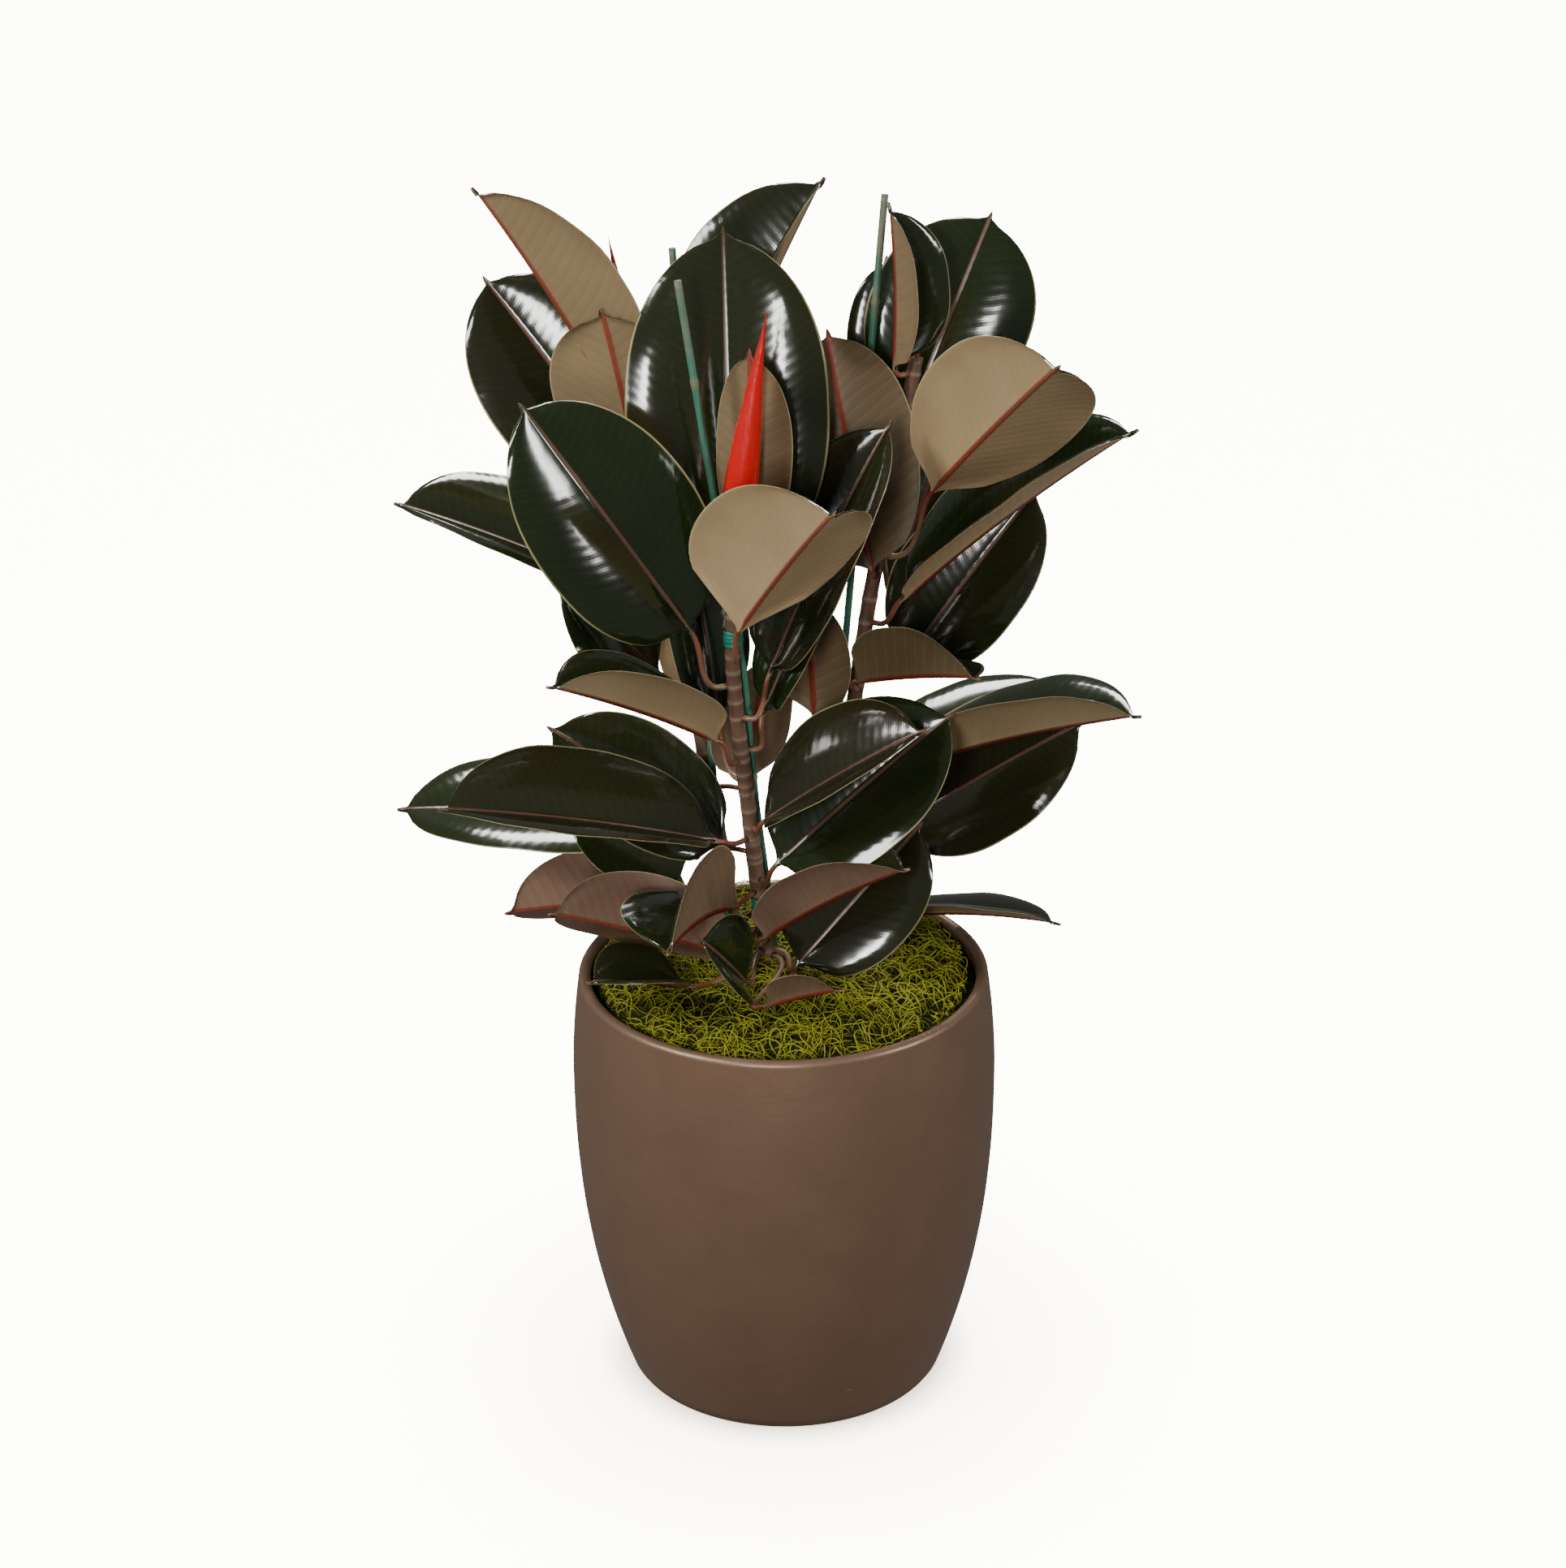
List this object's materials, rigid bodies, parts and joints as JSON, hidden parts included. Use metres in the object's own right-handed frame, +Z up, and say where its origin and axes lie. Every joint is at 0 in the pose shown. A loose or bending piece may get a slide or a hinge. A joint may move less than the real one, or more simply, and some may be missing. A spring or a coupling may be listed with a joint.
{
  "type": "potted rubber plant",
  "caption": "Bushy potted rubber plant: staked upright stems with broad glossy dark leaves, rising from moss in a barrel-shaped planter.",
  "frame": {"origin": "centre of the planter's flat base, on the floor it stands on", "axes": "+Z up, -Y towards the front of the plant, +X to the right seen from the front"},
  "size_m": [0.5272, 0.3379, 0.8746],
  "materials": {
    "leaf": "waxy, high gloss, very dark green with a burgundy cast above and tan brown beneath",
    "bark": "smooth brown bark with paler leaf scars",
    "cane": "green-dyed bamboo, worn to tan at the top",
    "tape": "thin green garden tape",
    "sheath_bright": "smooth, bright red leaf sheath",
    "sheath_dull": "smooth, dull red leaf sheath",
    "glaze": "satin bronze-brown glaze, faintly mottled",
    "pot_plastic": "thin black nursery pot",
    "soil": "loose dark potting mix",
    "moss": "dried curly yellow-green moss"
  },
  "bodies": {
    "root": {"leaf_front_01": "leaf", "leaf_front_02": "leaf", "leaf_front_03": "leaf", "leaf_front_04": "leaf", "leaf_front_05": "leaf", "leaf_front_06": "leaf", "leaf_front_07": "leaf", "leaf_front_08": "leaf", "leaf_front_09": "leaf", "leaf_front_10": "leaf", "leaf_front_11": "leaf", "leaf_front_12": "leaf", "leaf_front_13": "leaf", "leaf_front_14": "leaf", "leaf_front_15": "leaf", "leaf_front_16": "leaf", "leaf_front_17": "leaf", "leaf_front_18": "leaf", "leaf_front_19": "leaf", "leaf_left_01": "leaf", "leaf_left_02": "leaf", "leaf_left_03": "leaf", "leaf_left_04": "leaf", "leaf_left_05": "leaf", "leaf_left_06": "leaf", "leaf_left_07": "leaf", "leaf_left_08": "leaf", "leaf_left_09": "leaf", "leaf_left_10": "leaf", "leaf_left_11": "leaf", "leaf_right_01": "leaf", "leaf_right_02": "leaf", "leaf_right_03": "leaf", "leaf_right_04": "leaf", "leaf_right_05": "leaf", "leaf_right_06": "leaf", "leaf_right_07": "leaf", "leaf_right_08": "leaf", "leaf_right_09": "leaf", "leaf_right_10": "leaf", "leaf_right_11": "leaf", "leaf_right_12": "leaf", "leaf_right_13": "leaf", "leaf_right_14": "leaf", "moss_topdressing": "moss", "nursery_pot": "pot_plastic", "planter": "glaze", "potting_soil": "soil", "sheath_front": "sheath_bright", "sheath_left": "sheath_dull", "sheath_right": "sheath_dull", "stake_front": "cane", "stake_left": "cane", "stake_right": "cane", "stem_front": "bark", "stem_left": "bark", "stem_right": "bark", "tie_lower": "tape", "tie_upper": "tape"}
  },
  "joints": []
}
